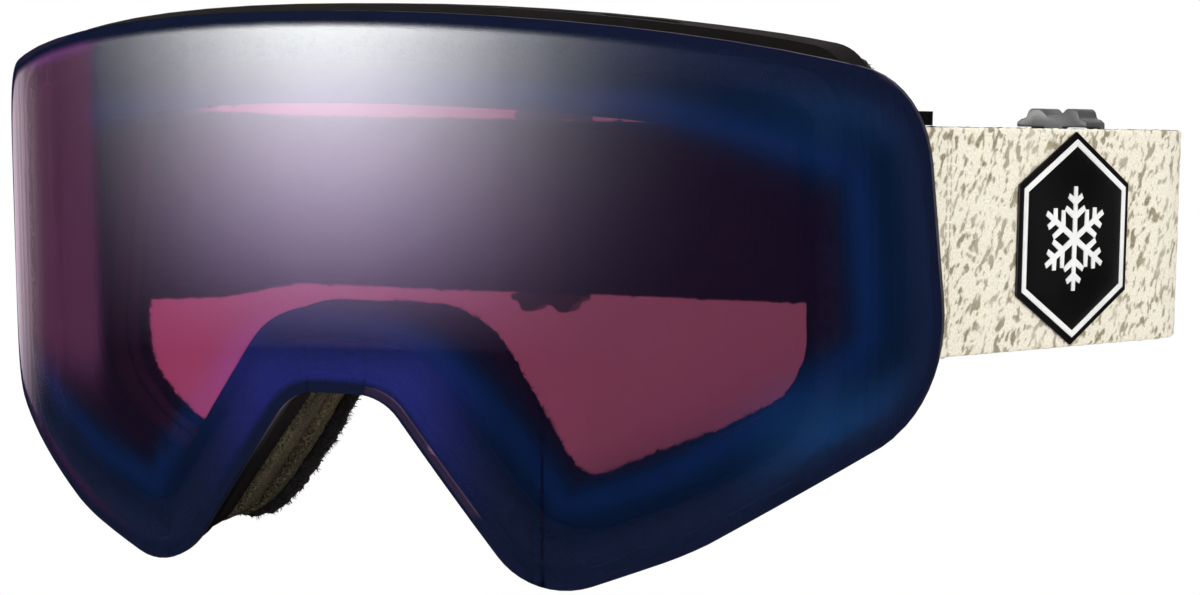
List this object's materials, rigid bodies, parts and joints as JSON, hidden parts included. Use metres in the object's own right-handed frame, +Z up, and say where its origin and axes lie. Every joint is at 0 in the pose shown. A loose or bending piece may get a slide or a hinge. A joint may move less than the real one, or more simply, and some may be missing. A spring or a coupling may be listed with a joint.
{
  "type": "snow goggles",
  "caption": "Snow goggles with a cylindrical mirrored double lens on a snap-in carrier, soft frame, layered face foam and an adjustable elastic strap.",
  "frame": {"origin": "on the wearer's middle plane, at the height of the lens's middle line, level with the face at the brow", "axes": "+X to the wearer's left, +Y from the lens towards the back of the head, +Z up"},
  "size_m": [0.25, 0.1687, 0.0947],
  "materials": {
    "mirror_lens": "mirror-coated polycarbonate, blue to violet",
    "rose_lens": "rose-tinted clear sheet",
    "gasket_foam": "closed-cell foam, matt",
    "black_plastic": "satin moulded",
    "black_rubber": "soft-touch moulded polyurethane",
    "vent_foam": "open-cell foam",
    "face_foam": "open-cell foam, brown-grey",
    "fleece": "brushed fleece",
    "steel_pin": "plain",
    "strap_fabric": "elastic webbing, cream with grey-brown flecks",
    "grey_plastic": "moulded, satin",
    "patch_rubber": "flat soft patch",
    "patch_line": "raised line"
  },
  "bodies": {
    "frame": {"frame": "black_rubber", "vent_foam_top": "vent_foam", "vent_foam_bottom": "vent_foam", "foam_base": "face_foam", "face_foam": "face_foam", "fleece_lining": "fleece", "hinge_pin_left": "steel_pin", "hinge_pin_right": "steel_pin", "strap_left": "strap_fabric", "strap_right": "strap_fabric", "strap_rear": "strap_fabric", "strap_tail_left": "strap_fabric", "strap_tail_right": "strap_fabric", "patch": "patch_rubber", "patch_line": "patch_line"},
    "lens": {"outer_lens": "mirror_lens", "inner_lens": "rose_lens", "lens_spacer_foam": "gasket_foam", "lens_carrier": "black_plastic"},
    "outrigger_left": {"outrigger_left": "black_plastic", "strap_fold_left": "strap_fabric"},
    "outrigger_right": {"outrigger_right": "black_plastic", "strap_fold_right": "strap_fabric"},
    "slider_left": {"slider_left": "grey_plastic"},
    "slider_right": {"slider_right": "grey_plastic"}
  },
  "joints": [
    {"name": "lens_pull", "type": "slide", "parent": "frame", "child": "lens", "axis": [0, -1, 0], "range_m": [0, 0.06]},
    {"name": "outrigger_left_swing", "type": "hinge", "parent": "frame", "child": "outrigger_left", "pos_m": [0.08002, 0.00557, 0.00714], "axis": [0, 0.0523, 0.9986], "range_deg": [0, 18]},
    {"name": "outrigger_right_swing", "type": "hinge", "parent": "frame", "child": "outrigger_right", "pos_m": [-0.08002, 0.00557, 0.00714], "axis": [0, -0.0523, -0.9986], "range_deg": [0, 18]},
    {"name": "slider_left_shift", "type": "hinge", "parent": "frame", "child": "slider_left", "pos_m": [0.0804, 0.0786, 0.00331], "axis": [0, 0.0523, 0.9986], "range_deg": [-50, 12]},
    {"name": "slider_right_shift", "type": "slide", "parent": "frame", "child": "slider_right", "axis": [1, 0, 0], "range_m": [-0.052, 0.08]}
  ]
}
